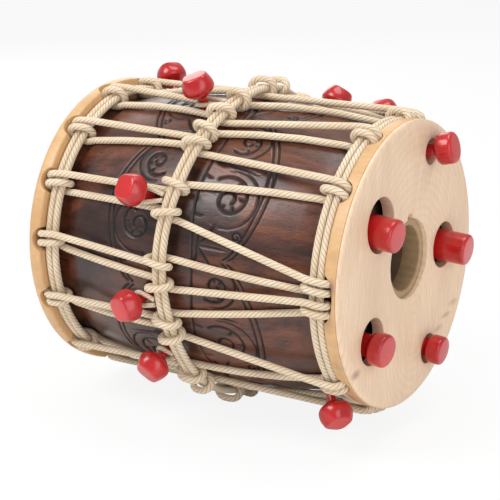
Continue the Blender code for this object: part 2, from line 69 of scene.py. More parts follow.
boxLow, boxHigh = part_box("end_board")
barrelLow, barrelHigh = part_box("barrel")
axisPlace = Vector((boxHigh[0] - board["faceX"], (barrelLow[1] + barrelHigh[1]) / 2,
                    (barrelLow[2] + barrelHigh[2]) / 2))      # where the drum's axis lies in the frame
toFrame = Matrix.Translation(axisPlace)


def onDrum(x, radius, angle):
    # A point by its place along the axis, its distance from it and its angle from the top
    turn = math.radians(angle)
    return Vector((x, -radius * math.sin(turn), radius * math.cos(turn)))


def shellRadius(x):
    # A parabola through the belly and the two necks, as in the CAD
    sag = shell["belly"] - (shell["leftNeck"] + shell["rightNeck"]) / 2
    slope = (shell["rightNeck"] - shell["leftNeck"]) / (2 * shell["ringX"])
    return shell["belly"] - sag * (x / shell["ringX"]) ** 2 + slope * x


def aim(direction):
    # Turns local X onto a direction, keeping local Z as near to up as it can be
    forward = direction.normalized()
    side = Vector((0, 0, 1)).cross(forward).normalized()
    return Matrix((forward, side, forward.cross(side))).transposed().to_4x4()


# Camera, lights, floor

view = {"position": (0.87297, -1.41440, 0.45602), "azimuth": 31.86, "elevation": 15.72,
        "lens": 114.31, "sensor": 36.0}


def makeCamera():
    camera = bpy.data.objects.new("camera", bpy.data.cameras.new("camera"))
    bpy.context.scene.collection.objects.link(camera)
    camera.data.lens = view["lens"]
    camera.data.sensor_width = view["sensor"]
    camera.location = Vector(view["position"]) + axisPlace
    camera.rotation_euler = (math.radians(90 - view["elevation"]), 0.0, math.radians(view["azimuth"]))
    bpy.context.scene.camera = camera


lamps = {
    "key": {"place": (-1.0, -1.5, 2.1), "size": 1.3, "power": 38.0},
    "fill": {"place": (1.9, -1.3, 0.9), "size": 1.6, "power": 16.0},
    "top": {"place": (0.3, 0.3, 2.2), "size": 1.2, "power": 16.0},
    "back": {"place": (-1.6, 1.6, 1.2), "size": 1.6, "power": 14.0},
}
lampTarget = Vector((0, 0, 0.17))
roomLevel = 0.50
paper = {"half": 8.0, "tone": (0.9, 0.9, 0.9, 1.0), "roughness": 0.9, "glow": 0.88}


def makeLights():
    for name, lamp in lamps.items():
        light = bpy.data.lights.new(name, "AREA")
        light.size = lamp["size"]
        light.energy = lamp["power"]
        thing = bpy.data.objects.new(name, light)
        bpy.context.scene.collection.objects.link(thing)
        thing.location = Vector(lamp["place"])
        toTarget = lampTarget - thing.location
        thing.rotation_euler = toTarget.to_track_quat("-Z", "Y").to_euler()
    world = bpy.data.worlds.new("studio")
    bpy.context.scene.world = world
    world.use_nodes = True
    nodes = world.node_tree.nodes
    links = world.node_tree.links
    room = nodes["Background"]
    room.inputs["Color"].default_value = (1.0, 0.99, 0.97, 1.0)
    room.inputs["Strength"].default_value = roomLevel
    white = nodes.new("ShaderNodeBackground")
    path = nodes.new("ShaderNodeLightPath")
    mix = nodes.new("ShaderNodeMixShader")
    links.new(path.outputs["Is Camera Ray"], mix.inputs["Fac"])
    links.new(room.outputs[0], mix.inputs[1])
    links.new(white.outputs[0], mix.inputs[2])
    links.new(mix.outputs[0], nodes["World Output"].inputs["Surface"])
    bpy.context.scene.view_settings.view_transform = "Standard"


def makeFloor(height):
    bm = bmesh.new()
    bmesh.ops.create_grid(bm, x_segments=1, y_segments=1, size=paper["half"],
                          matrix=Matrix.Translation((0.0, 0.0, height)))
    mesh = bpy.data.meshes.new("floor")
    bm.to_mesh(mesh)
    bm.free()
    floor = bpy.data.objects.new("floor", mesh)
    bpy.context.scene.collection.objects.link(floor)
    material = bpy.data.materials.new("paper")
    material.use_nodes = True
    nodes = material.node_tree.nodes
    links = material.node_tree.links
    lit = nodes["Principled BSDF"]
    lit.inputs["Base Color"].default_value = paper["tone"]
    lit.inputs["Roughness"].default_value = paper["roughness"]
    glow = nodes.new("ShaderNodeEmission")
    glow.inputs["Strength"].default_value = 1.0
    path = nodes.new("ShaderNodeLightPath")
    seen = nodes.new("ShaderNodeMath")
    seen.operation = "MULTIPLY"
    seen.inputs[1].default_value = paper["glow"]
    mix = nodes.new("ShaderNodeMixShader")
    links.new(path.outputs["Is Camera Ray"], seen.inputs[0])
    links.new(seen.outputs[0], mix.inputs["Fac"])
    links.new(lit.outputs[0], mix.inputs[1])
    links.new(glow.outputs[0], mix.inputs[2])
    links.new(mix.outputs[0], nodes["Material Output"].inputs["Surface"])
    mesh.materials.append(material)


# Materials. Each pattern reads Object coordinates, or an attribute of the piece's own.

class Finish:
    def __init__(self, name, roughness=0.5, coat=0.0, coatRoughness=0.1, metallic=0.0, sheen=0.0):
        self.material = bpy.data.materials.new(name)
        self.material.use_nodes = True
        self.nodes = self.material.node_tree.nodes
        self.links = self.material.node_tree.links
        self.shader = self.nodes["Principled BSDF"]
        self.shader.inputs["Roughness"].default_value = roughness
        self.shader.inputs["Coat Weight"].default_value = coat
        self.shader.inputs["Coat Roughness"].default_value = coatRoughness
        self.shader.inputs["Metallic"].default_value = metallic
        self.shader.inputs["Sheen Weight"].default_value = sheen

    def place(self, stretch, turn=(0.0, 0.0, 0.0), attribute=None, move=(0.0, 0.0, 0.0)):
        mapping = self.nodes.new("ShaderNodeMapping")
        mapping.inputs["Location"].default_value = move
        mapping.inputs["Scale"].default_value = stretch
        mapping.inputs["Rotation"].default_value = turn
        if attribute:
            source = self.nodes.new("ShaderNodeAttribute")
            source.attribute_name = attribute
            self.links.new(source.outputs["Vector"], mapping.inputs["Vector"])
        else:
            source = self.nodes.new("ShaderNodeTexCoord")
            self.links.new(source.outputs["Object"], mapping.inputs["Vector"])
        return mapping.outputs["Vector"]

    def value(self, attribute):
        source = self.nodes.new("ShaderNodeAttribute")
        source.attribute_name = attribute
        return source.outputs["Fac"]

    def noise(self, vector, scale=1.0, detail=4.0, roughness=0.55, distortion=0.0):
        node = self.nodes.new("ShaderNodeTexNoise")
        node.inputs["Scale"].default_value = scale
        node.inputs["Detail"].default_value = detail
        node.inputs["Roughness"].default_value = roughness
        node.inputs["Distortion"].default_value = distortion
        self.links.new(vector, node.inputs["Vector"])
        return node.outputs["Fac"]

    def rings(self, vector, scale, distortion, detail=3.0, direction="Z"):
        node = self.nodes.new("ShaderNodeTexWave")
        node.wave_type = "RINGS"
        node.rings_direction = direction
        node.inputs["Scale"].default_value = scale
        node.inputs["Distortion"].default_value = distortion
        node.inputs["Detail"].default_value = detail
        node.inputs["Detail Scale"].default_value = 1.2
        self.links.new(vector, node.inputs["Vector"])
        return node.outputs["Fac"]

    def ramp(self, value, stops):
        node = self.nodes.new("ShaderNodeValToRGB")
        items = node.color_ramp.elements
        while len(items) < len(stops):
            items.new(0.5)
        for item, (position, color) in zip(items, stops):
            item.position = position
            item.color = (*color, 1.0)
        self.links.new(value, node.inputs["Fac"])
        return node.outputs["Color"]

    def level(self, value, low, high, first=0.0, last=1.0):
        node = self.nodes.new("ShaderNodeMapRange")
        node.inputs["From Min"].default_value = low
        node.inputs["From Max"].default_value = high
        node.inputs["To Min"].default_value = first
        node.inputs["To Max"].default_value = last
        self.links.new(value, node.inputs["Value"])
        return node.outputs["Result"]

    def mix(self, factor, first, second, blend="MIX"):
        node = self.nodes.new("ShaderNodeMix")
        node.data_type = "RGBA"
        node.blend_type = blend
        for socket, given in (("Factor", factor), ("A", first), ("B", second)):
            target = [s for s in node.inputs if s.name == socket and s.enabled][0]
            if isinstance(given, tuple):
                target.default_value = (*given, 1.0)
            elif isinstance(given, float):
                target.default_value = given
            else:
                self.links.new(given, target)
        return [s for s in node.outputs if s.enabled][0]

    def spot(self, centre, size, softness=0.35):
        # 1 inside an ellipsoid about a point of the object, fading to 0 at its edge
        mapping = self.nodes.new("ShaderNodeMapping")
        mapping.inputs["Scale"].default_value = [1 / s for s in size]
        mapping.inputs["Location"].default_value = [-c / s for c, s in zip(centre, size)]
        source = self.nodes.new("ShaderNodeTexCoord")
        self.links.new(source.outputs["Object"], mapping.inputs["Vector"])
        length = self.nodes.new("ShaderNodeVectorMath")
        length.operation = "LENGTH"
        self.links.new(mapping.outputs["Vector"], length.inputs[0])
        return self.level(length.outputs["Value"], 1.0, 1.0 - softness)

    def color(self, output):
        self.links.new(output, self.shader.inputs["Base Color"])

    def rough(self, output):
        self.links.new(output, self.shader.inputs["Roughness"])

    def bump(self, height, strength, distance):
        node = self.nodes.new("ShaderNodeBump")
        node.inputs["Strength"].default_value = strength
        node.inputs["Distance"].default_value = distance
        self.links.new(height, node.inputs["Height"])
        self.links.new(node.outputs["Normal"], self.shader.inputs["Normal"])


def rosewoodFinish():
    finish = Finish("carved_rosewood", coat=0.18, coatRoughness=0.20)
    figure = finish.noise(finish.place((5.0, 11.0, 11.0)), detail=5.0, distortion=1.6)
    streaks = finish.noise(finish.place((14.0, 120.0, 120.0)), detail=6.0, roughness=0.65)
    base = finish.ramp(figure, [(0.33, (0.026, 0.009, 0.007)), (0.45, (0.078, 0.025, 0.017)),
                                (0.57, (0.180, 0.053, 0.022)), (0.72, (0.085, 0.029, 0.022))])
    veins = finish.ramp(streaks, [(0.38, (0.42, 0.36, 0.34)), (0.58, (1.0, 1.0, 1.0))])
    wood = finish.mix(0.75, base, veins, "MULTIPLY")
    pores = finish.noise(finish.place((90.0, 900.0, 900.0)), detail=2.0)
    dots = finish.level(pores, 0.36, 0.46)
    wood = finish.mix(finish.level(dots, 0.0, 1.0, 0.55, 0.0), wood, (0.012, 0.005, 0.004))
    cutIn = finish.value("carved")
    # Painted shade: the carved grooves are darkened to near black by their depth
    wood = finish.mix(finish.level(cutIn, 0.06, 0.50, 0.0, 0.95), wood, (0.007, 0.003, 0.002))
    finish.color(wood)
    finish.rough(finish.level(finish.mix(0.6, streaks, cutIn), 0.12, 0.72, 0.25, 0.80))
    finish.bump(dots, 0.25, 0.0004)
    return finish.material


def stainsAt(spots):
    return [(tuple(axisPlace + Vector(place)), size, color, weight)
            for place, size, color, weight in spots]


# Marks in the wood, about the drum's own axis: place, size, color and strength
faceStains = stainsAt([
    ((0.187, -0.1134, -0.0843), (0.01, 0.0120, 0.0065), (0.30, 0.14, 0.13), 0.75),
    ((0.187, 0.1100, -0.0690), (0.01, 0.0150, 0.0045), (0.50, 0.21, 0.11), 0.55),
    ((0.187, 0.0920, -0.0790), (0.01, 0.0150, 0.0035), (0.46, 0.18, 0.10), 0.65),
    ((0.187, 0.0740, -0.0890), (0.01, 0.0150, 0.0045), (0.50, 0.21, 0.11), 0.50),
])
hoopStains = stainsAt([
    ((0.177, -0.1490, 0.0120), (0.0060, 0.012, 0.0120), (0.20, 0.08, 0.06), 0.85),
    ((0.174, -0.1480, -0.0200), (0.0080, 0.012, 0.0200), (0.42, 0.21, 0.12), 0.45),
    ((0.176, -0.1300, -0.0750), (0.0070, 0.020, 0.0180), (0.42, 0.21, 0.12), 0.40),
])


def boardFinish(name, tint, dark, roughness, stains=()):
    # Pale wood whose growth lines run across the disc and bend round
    finish = Finish(name, coat=0.06, coatRoughness=0.4)
    slant = (0.35, 0.0, 0.0)
    lines = finish.rings(finish.place((0.3, 1.5, 1.0), move=(0.0, -0.02, -0.11)), 34.0, 3.0,
                         direction="X")
    cloud = finish.noise(finish.place((6.0, 14.0, 5.0), slant), detail=4.0, distortion=0.8)
    fibre = finish.noise(finish.place((60.0, 420.0, 40.0), slant), detail=5.0, roughness=0.7)
    deep = tuple(c * 0.72 for c in dark)
    wood = finish.mix(finish.level(lines, 0.2, 1.0, 0.0, 0.22), tint, dark)
    wood = finish.mix(finish.level(cloud, 0.42, 0.75, 0.0, 0.45), wood, dark)
    wood = finish.mix(finish.level(fibre, 0.35, 0.62, 0.30, 0.0), wood, deep)
    pores = finish.noise(finish.place((700.0, 1500.0, 500.0)), detail=1.0)
    specks = finish.level(pores, 0.70, 0.76)
    wood = finish.mix(finish.level(specks, 0.0, 1.0, 0.0, 0.45), wood, (0.25, 0.12, 0.06))
    for centre, size, color, weight in stains:
        inside = finish.spot(centre, size, 0.9)
        wood = finish.mix(finish.level(inside, 0.0, 1.0, 0.0, weight), wood, color)
    finish.color(wood)
    finish.rough(finish.level(fibre, 0.3, 0.7, roughness - 0.06, roughness + 0.08))
    finish.bump(fibre, 0.18, 0.0004)
    return finish.material


def ropeFinish():
    finish = Finish("laid_rope", roughness=0.82, sheen=0.25)
    depth = finish.value("crest")
    fibres = finish.noise(finish.place((1600.0, 1600.0, 170.0), attribute="ropeCoord"), detail=4.0,
                          roughness=0.7)
    drift = finish.noise(finish.place((30.0, 30.0, 30.0)), detail=5.0)
    light = finish.mix(finish.level(drift, 0.35, 0.65, 0.0, 1.0), (0.90, 0.76, 0.57),
                       (0.80, 0.64, 0.45))
    light = finish.mix(finish.level(fibres, 0.35, 0.65, 0.30, 0.0), light, (0.66, 0.50, 0.33))
    # Painted shade: the grooves between the strands are dark brown, the crests the light rope colour
    groove = (0.36, 0.25, 0.15)
    finish.color(finish.mix(finish.level(depth, 0.0, 0.45, 0.0, 1.0), groove, light))
    finish.bump(fibres, 0.75, 0.0009)
    return finish.material


def lacquerFinish():
    finish = Finish("red_lacquer", roughness=0.30, coat=0.45, coatRoughness=0.10)
    drift = finish.noise(finish.place((35.0, 35.0, 35.0)), detail=3.0)
    worn = finish.noise(finish.place((420.0, 420.0, 420.0)), detail=3.0)
    red = finish.mix(finish.level(drift, 0.35, 0.65, 0.0, 1.0), (0.55, 0.006, 0.008),
                     (0.40, 0.003, 0.006))
    red = finish.mix(finish.level(worn, 0.62, 0.72, 0.0, 0.35), red, (0.78, 0.060, 0.045))
    # Painted highlight: the flat end face of each peg and knob takes a lighter red
    paintedEndHighlight = finish.value("paintedEndHighlight")
    red = finish.mix(finish.level(paintedEndHighlight, 0.0, 1.0, 0.0, 0.5), red, (0.62, 0.016, 0.016))
    finish.color(red)
    finish.bump(drift, 0.12, 0.002)
    return finish.material


def steelFinish():
    finish = Finish("ferrule_metal", roughness=0.3, metallic=1.0)
    marks = finish.noise(finish.place((1400.0, 60.0, 60.0)), detail=3.0)
    finish.color(finish.mix(finish.level(marks, 0.3, 0.7, 0.0, 1.0), (0.50, 0.50, 0.48),
                            (0.70, 0.69, 0.66)))
    finish.rough(finish.level(marks, 0.3, 0.7, 0.22, 0.42))
    return finish.material


def hideFinish():
    finish = Finish("goat_hide", roughness=0.55, sheen=0.1)
    cloud = finish.noise(finish.place((14.0, 14.0, 14.0)), detail=6.0, distortion=1.2)
    grain = finish.noise(finish.place((500.0, 500.0, 500.0)), detail=4.0)
    skin = finish.ramp(cloud, [(0.30, (0.50, 0.36, 0.22)), (0.50, (0.74, 0.62, 0.45)),
                               (0.72, (0.80, 0.71, 0.56))])
    finish.color(finish.mix(finish.level(grain, 0.40, 0.60, 0.30, 0.0), skin, (0.42, 0.29, 0.17)))
    finish.bump(grain, 0.3, 0.0005)
    return finish.material


# Building helpers

def addPiece(name, mesh, material, node, body="drum"):
    # Puts a finished piece on its body, in place of its CAD node
    piece = bpy.data.objects.new(name, mesh)
    bpy.context.scene.collection.objects.link(piece)
    mesh.materials.clear()
    mesh.materials.append(material)
    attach(piece, body)
    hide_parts(node)
    return piece


def turned(name, outline, sides, closed=False, spot=None):
    # Spins an outline of (x, radius) about the X axis and puts the result in its place
    bm = bmesh.new()
    rim = [bm.verts.new((x, 0.0, radius)) for x, radius in outline]
    for first, second in zip(rim, rim[1:]):
        bm.edges.new((first, second))
    if closed:
        bm.edges.new((rim[-1], rim[0]))
    bmesh.ops.spin(bm, geom=bm.verts[:] + bm.edges[:], cent=(0, 0, 0), axis=(1, 0, 0),
                   angle=math.tau, steps=sides, use_merge=True)
    bmesh.ops.remove_doubles(bm, verts=bm.verts[:], dist=1e-7)
    bmesh.ops.recalc_face_normals(bm, faces=bm.faces[:])
    mesh = bpy.data.meshes.new(name)
    bm.to_mesh(mesh)
    bm.free()
    mesh.transform(spot if spot else toFrame)
    mesh.shade_smooth()
    mesh.set_sharp_from_angle(angle=math.radians(38))
    return mesh


def rounded(outline, cuts, steps=4):
    # Rounds the corners of an outline; cuts gives each corner's cut length, 0 to keep it sharp
    result = []
    for i, point in enumerate(outline):
        cut = cuts.get(i, 0.0)
        if not cut:
            result.append(point)
            continue
        here = Vector(point)
        before = Vector(outline[i - 1])
        after = Vector(outline[(i + 1) % len(outline)])
        first = here + (before - here).normalized() * min(cut, (before - here).length * 0.48)
        last = here + (after - here).normalized() * min(cut, (after - here).length * 0.48)
        for step in range(steps + 1):
            t = step / steps
            result.append(tuple((1 - t) ** 2 * first + 2 * t * (1 - t) * here + t * t * last))
    return result


def carveOut(piece, cutters, bevelWidth=0.0007):
    # Takes the cutters away from the piece, softens the edges and keeps the result as its mesh
    for mesh in cutters:
        tool = bpy.data.objects.new("tool", mesh)
        bpy.context.scene.collection.objects.link(tool)
        modifier = piece.modifiers.new("cut", "BOOLEAN")
        modifier.operation = "DIFFERENCE"
        modifier.solver = "EXACT"
        modifier.object = tool
    soften = piece.modifiers.new("soften", "BEVEL")
    soften.width = bevelWidth
    soften.segments = 2
    soften.limit_method = "ANGLE"
    soften.angle_limit = math.radians(40)
    bpy.context.view_layer.update()
    seen = piece.evaluated_get(bpy.context.evaluated_depsgraph_get())
    result = bpy.data.meshes.new_from_object(seen)
    tools = [m.object for m in piece.modifiers if m.type == "BOOLEAN"]
    piece.modifiers.clear()
    piece.data = result
    for tool in tools:
        bpy.data.objects.remove(tool, do_unlink=True)
    result.shade_smooth()
    result.set_sharp_from_angle(angle=math.radians(38))


# Laid rope

rope = {"radius": 0.0038, "pitch": 0.0082, "lay": 0.0270, "step": 0.00165, "sides": 15,
        "strands": 5, "groove": 0.92, "bend": 0.006}
pegCord = {"radius": 0.0025, "lay": 0.0170, "step": 0.0012, "sides": 12,
           "strands": 4, "groove": 0.91, "bend": 0.004, "endSpread": 0.0029, "sideSpread": 0.0056}
slideGap = 0.0004

# The middle ring's place, and how far it is drawn aside at the top and at the pegs: angle and spread
midRing = {"x": -0.004, "topPull": 0.010, "top": (8.0, 28.0), "sidePull": -0.008, "side": (84.0, 22.0)}


def midRingX(angle):
    def bump(middle, spread):
        apart = (angle - middle + 180.0) % 360.0 - 180.0
        return math.exp(-(apart / spread) ** 2)
    return (midRing["x"] + midRing["topPull"] * bump(*midRing["top"])
            + midRing["sidePull"] * bump(*midRing["side"]))


# Each ring's radius, its place along the drum, and where it crosses from its first turn to its second
ringLay = {
    "left": {"radius": 0.1500, "x": lambda angle: -shell["ringX"], "cross": (197.0, 213.0)},
    "mid": {"radius": 0.1666, "x": midRingX, "cross": (297.5, 311.0)},
    "right": {"radius": 0.1475, "x": lambda angle: shell["ringX"], "cross": (206.0, 222.0)},
}
ringRuns = 20
ringBend = 0.030

# Knots: their shape, and their angles on each ring; the second half of the drum repeats the first
knot = {"pitch": 0.0093, "height": 0.0087, "flat": 0.0084, "side": 0.0142}
knotAngles = {
    "left": (-13.0, 12.0, 37.5, 62.0, 85.5, 111.0, 140.0),
    "in": (-16.0, 14.0, 34.5, 57.8, 85.5, 107.0, 134.5),
    "out": (-3.0, 25.0, 41.5, 68.2, 94.0, 114.0, 144.0),
    "right": (-8.5, 20.7, 48.9, 86.0, 94.5, 131.8, 162.5),
}
hugPlaces = (0.144, 0.098, 0.050)
ropeGap = 0.0008


def wholeTurn(angles):
    return [*angles, *(angle + 180.0 for angle in angles)]


def softPath(points, cut, step):
    # Rounds each corner of a route, then spaces its points evenly
    route = [points[0]]
    for before, here, after in zip(points, points[1:], points[2:]):
        first = here + (before - here).normalized() * min(cut, (before - here).length / 2)
        last = here + (after - here).normalized() * min(cut, (after - here).length / 2)
        for t in (0.0, 0.25, 0.5, 0.75, 1.0):
            route.append((1 - t) ** 2 * first + 2 * t * (1 - t) * here + t * t * last)
    route.append(points[-1])
    raw = np.array([tuple(p) for p in route])
    length = np.concatenate(([0.0], np.cumsum(np.linalg.norm(np.diff(raw, axis=0), axis=1))))
    keep = np.concatenate(([True], np.diff(length) > 1e-7))
    even = np.linspace(0.0, length[-1], int(length[-1] / step) + 1)
    return np.stack([np.interp(even, length[keep], raw[keep, i]) for i in range(3)], axis=1)


def strandRadius(look, angle):
    # The rope's outline is full over each strand and dips between them
    dip = 1 - abs(math.sin(look["strands"] * angle / 2))
    return look["radius"] * (1 - (1 - look["groove"]) * dip)


def laidRope(name, path, look, material, node, runBefore=0.0):
    # A curve swept with a lobed outline, one lobe for each strand, that turns as it goes
    sides = look["sides"]
    around = [math.tau * i / sides for i in range(sides)]
    outline = bpy.data.curves.new(name + "Outline", "CURVE")
    outline.dimensions = "2D"
    loop = outline.splines.new("POLY")
    loop.points.add(sides - 1)
    for point, angle in zip(loop.points, around):
        reach = strandRadius(look, angle)
        point.co = (reach * math.cos(angle), reach * math.sin(angle), 0.0, 1.0)
    loop.use_cyclic_u = True
    outlineThing = bpy.data.objects.new(name + "Outline", outline)
    bpy.context.scene.collection.objects.link(outlineThing)
    line = bpy.data.curves.new(name + "Line", "CURVE")
    line.dimensions = "3D"
    line.bevel_mode = "OBJECT"
    line.bevel_object = outlineThing
    line.use_fill_caps = True
    spline = line.splines.new("POLY")
    spline.points.add(len(path) - 1)
    run = runBefore + np.arange(len(path)) * look["step"]
    spline.points.foreach_set("co", np.hstack([path, np.ones((len(path), 1))]).ravel())
    spline.points.foreach_set("tilt", -run * math.tau / look["lay"])
    lineThing = bpy.data.objects.new(name + "Line", line)
    bpy.context.scene.collection.objects.link(lineThing)
    bpy.context.view_layer.update()
    view = bpy.context.evaluated_depsgraph_get()
    mesh = bpy.data.meshes.new_from_object(lineThing.evaluated_get(view))
    bpy.data.objects.remove(lineThing, do_unlink=True)
    bpy.data.objects.remove(outlineThing, do_unlink=True)
    mesh.name = name
    count = len(path) * sides
    extra = len(mesh.vertices) - count
    # 0 in the grooves and 1 on the strands, which the material uses to paint shade into the grooves, and
    # a place along and across the rope, for its material
    crest = [(strandRadius(look, angle) / look["radius"] - look["groove"]) / (1 - look["groove"])
             for angle in around]
    crests = np.tile(np.array(crest), len(path))
    coords = np.zeros((len(path), sides, 3))
    coords[:, :, 0] = np.cos(around) * look["radius"]
    coords[:, :, 1] = np.sin(around) * look["radius"]
    coords[:, :, 2] = run[:, None]
    flat = coords.reshape(-1, 3)
    if extra > 0:
        crests = np.concatenate([crests, np.ones(extra)])
        flat = np.concatenate([flat, np.zeros((extra, 3))])
    mesh.attributes.new("crest", "FLOAT", "POINT").data.foreach_set("value", crests)
    mesh.attributes.new("ropeCoord", "FLOAT_VECTOR", "POINT").data.foreach_set("vector", flat.ravel())
    mesh.transform(toFrame)
    bm = bmesh.new()
    bm.from_mesh(mesh)
    bmesh.ops.remove_doubles(bm, verts=bm.verts[:], dist=1e-6)
    bmesh.ops.recalc_face_normals(bm, faces=bm.faces[:])
    bm.to_mesh(mesh)
    bm.free()
    mesh.shade_smooth()
    return addPiece(name, mesh, material, node)


def makeRings(material):
    for name, ring in ringLay.items():
        start, stop = ring["cross"]
        step = (360.0 - (stop - start)) / ringRuns
        corner = ring["radius"] * 2 / (1 + math.cos(math.radians(step / 2)))
        route = []
        for lane in (-0.5, 0.5):
            for i in range(ringRuns + 1):
                angle = stop + i * step
                route.append(onDrum(ring["x"](angle) + lane * rope["pitch"], corner, angle))
        path = softPath(route, ringBend, rope["step"])
        laidRope(name + "_ring", path, rope, material, name + "_ring_rope")
    print("rope rings laid")


def aroundRing(ring, angle, x, along, height):
    # A point near a knot: x along the drum from the ring, along its rope, and above its middle
    turn = angle + math.degrees(along / ring["radius"])
    return onDrum(ring["x"](angle) + x, ring["radius"] + height, turn)


def endKnot(ring, angle, side):
    # Two wraps: in over the top, round the far side, and out underneath
    flat, height, out = knot["flat"], knot["height"], knot["side"]
    loop = ((-flat, height), (flat, height), (out, 0.0), (flat, -height), (-flat, -height), (-out, 0.0))
    count = 2 * len(loop) - 1
    route = []
    for i in range(count):
        x, up = loop[i % len(loop)]
        along = knot["pitch"] * (i - (count - 1) / 2) / len(loop)
        route.append(aroundRing(ring, angle, side * x, along, up))
    return route


def midKnot(angle, way):
    # Under the ring, back over it, and under it again
    half = knot["pitch"] / 2
    flat, height, out = knot["flat"], knot["height"], knot["side"]
    run = ((-flat, -half, -height), (flat, -half, -height), (out, -0.6 * half, 0.0),
           (flat, -0.3 * half, height), (-flat, 0.3 * half, height), (-out, 0.6 * half, 0.0),
           (-flat, half, -height), (flat, half, -height))
    return [aroundRing(ringLay["mid"], angle, way * x, along, up) for x, along, up in run]


def hugging(first, last, places):
    # Points between two ends of a lace that lie on the barrel
    angles = [math.degrees(math.atan2(-p.y, p.z)) for p in (first, last)]
    turn = (angles[1] - angles[0] + 180.0) % 360.0 - 180.0
    return [onDrum(x, shellRadius(x) + rope["radius"] + ropeGap,
                   angles[0] + turn * (x - first.x) / (last.x - first.x)) for x in places]


def makeLacing(material):
    # One endless lace: left knot, middle ring, right knot, middle ring, next left knot
    places = {key: wholeTurn(angles) for key, angles in knotAngles.items()}
    count = len(places["left"])
    route = []
    for i in range(count):
        over = endKnot(ringLay["left"], places["left"][i], -1)
        middle = midKnot(places["out"][i], 1)
        route += over + hugging(over[-1], middle[0], [-x for x in hugPlaces]) + middle
        over = endKnot(ringLay["right"], places["right"][i], 1)
        middle = midKnot(places["in"][(i + 1) % count], -1)
        route += over + hugging(over[-1], middle[0], hugPlaces) + middle
    start = len(over) + len(hugPlaces) + 1     # under the middle ring, where the seams are hidden
    route = route[start:] + route[:start + 1]
    half = len(route) // 2
    first = softPath(route[:half + 1], rope["bend"], rope["step"])
    second = softPath(route[half:], rope["bend"], rope["step"])
    laidRope("lace_near", first, rope, material, "lacing")
    laidRope("lace_far", second, rope, material, "lacing", runBefore=len(first) * rope["step"])
    length = (len(first) + len(second)) * rope["step"]
    print("lacing laid,", round(length, 2), "m of rope")


# Carved shell

carving = {"reach": 0.101, "points": 106, "sides": 760, "lobes": 6, "turn": 12.0, "cusp": 0.060,
           "bulge": 0.091, "lineGap": 0.0062, "depth": 0.0024, "line": 0.0015, "scroll": 0.0020,
           "spacing": 0.0006, "beside": 0.0048, "stem": 0.0165, "wave": 0.003}

# One lobe's drawing. Places run along the drum in metres and round it as shares of the lobe.
# Scrolls: place, radius, first angle, turns and way. Hooks: the points of a scroll that they leave.
# Fans: root, and each leaf's heading, length and bend. Stem leaves: point on the stem and heading.
scrolls = ((0.050, 0.60, 0.027, -2.3, 1.5, 1), (0.046, 0.17, 0.0185, 2.3, 1.35, -1))
hooks = (7, 14, 21, 28)
fans = (
    (0.022, 0.362, ((0.05, 0.052, 0.15), (0.42, 0.021, -0.7), (-0.42, 0.021, 0.7))),
    (0.022, 0.915, ((0.0, 0.041, 0.1), (0.60, 0.033, 0.5), (-0.60, 0.033, -0.5), (1.15, 0.021, 0.8),
                    (-1.15, 0.021, -0.8))),
)
smallCurl = (0.0655, 0.835, 0.0068, 0.5, 1.2, -1)
stemLeaves = ((2, -0.9), (13, 1.0), (18, 0.8), (29, 0.4), (32, 0.9))
stemLeafShape = {"length": 0.013, "bend": -0.9}
lobeStart = {-1: 0.42, 1: 0.18}            # of the left and the right half, as shares of a lobe


def stroke(points, width, depth, store, taper=False):
    # Adds the points of one cut line, as (x, along the girth), with its half width and depth
    raw = np.array(points)
    length = np.concatenate(([0.0], np.cumsum(np.linalg.norm(np.diff(raw, axis=0), axis=1))))
    even = np.arange(0.0, length[-1], carving["spacing"])
    xs = np.interp(even, length, raw[:, 0])
    ys = np.interp(even, length, raw[:, 1])
    for x, y, run in zip(xs, ys, even / length[-1]):
        share = math.sin(math.pi * (0.12 + 0.88 * run)) ** 0.6 if taper else 1.0
        store.append((x, y, width * max(share, 0.3), depth * max(share, 0.35)))


def spiral(centre, radius, start, turns, way, inner, count=60):
    result = []
    for i in range(count + 1):
        t = i / count
        reach = radius * (inner ** t)
        angle = start + way * math.tau * turns * t
        result.append((centre[0] + reach * math.cos(angle), centre[1] + reach * math.sin(angle)))
    return result


def leaf(root, heading, length, bend, count=12):
    # A line from its root that turns by bend on its way
    x, y = root
    result = [root]
    for i in range(count):
        heading += bend / count
        x += length / count * math.cos(heading)
        y += length / count * math.sin(heading)
        result.append((x, y))
    return result


def carveLobe(side, base, lobe, store):
    # One lobe of the pattern, drawn for the right half of the drum and mirrored for the left
    def put(points, width, taper=False):
        stroke([(side * x, base + y) for x, y in points], width, carving["depth"], store, taper)

    line = carving["line"]
    scroll = carving["scroll"]
    for gap in (0.0, carving["lineGap"]):
        border = []
        for i in range(61):
            t = i / 60
            x = carving["cusp"] + (carving["bulge"] - carving["cusp"]) * math.sin(math.pi * t) ** 0.7
            border.append((x - gap, lobe * (0.012 + 0.976 * t)))
        put(border, line)
    # A large scroll and a smaller one that turns the other way, each with a second line beside it
    for x, place, radius, begin, turns, way in scrolls:
        centre = (x, lobe * place)
        curl = spiral(centre, radius, begin, turns, way, inner=0.2)
        put(curl, scroll)
        beside = spiral(centre, radius + carving["beside"], begin + 0.5 * way, 0.62, way, inner=0.95)
        put(beside, line, True)
        for i in hooks:
            here, ahead = curl[i:i + 2]
            heading = math.atan2(ahead[1] - here[1], ahead[0] - here[0])
            put(leaf(here, heading + 0.9 * way, radius * (0.46 - i / 120), 1.3 * way), scroll, True)
    # Leaves that fan out between the scrolls
    for x, place, leaves in fans:
        for heading, length, bend in leaves:
            put(leaf((x, lobe * place), heading, length, bend), scroll, True)
    x, place, radius, begin, turns, way = smallCurl
    put(spiral((x, lobe * place), radius, begin, turns, way, inner=0.3), line)
    # A waving stem beside the drum's middle, with short leaves towards the scrolls
    stem = [(carving["stem"] + carving["wave"] * math.cos(math.tau * (i / 40 - 0.1)), lobe * i / 40)
            for i in range(41)]
    put(stem, line)
    for i, heading in stemLeaves:
        put(leaf(stem[i], heading, stemLeafShape["length"], stemLeafShape["bend"]), line, True)


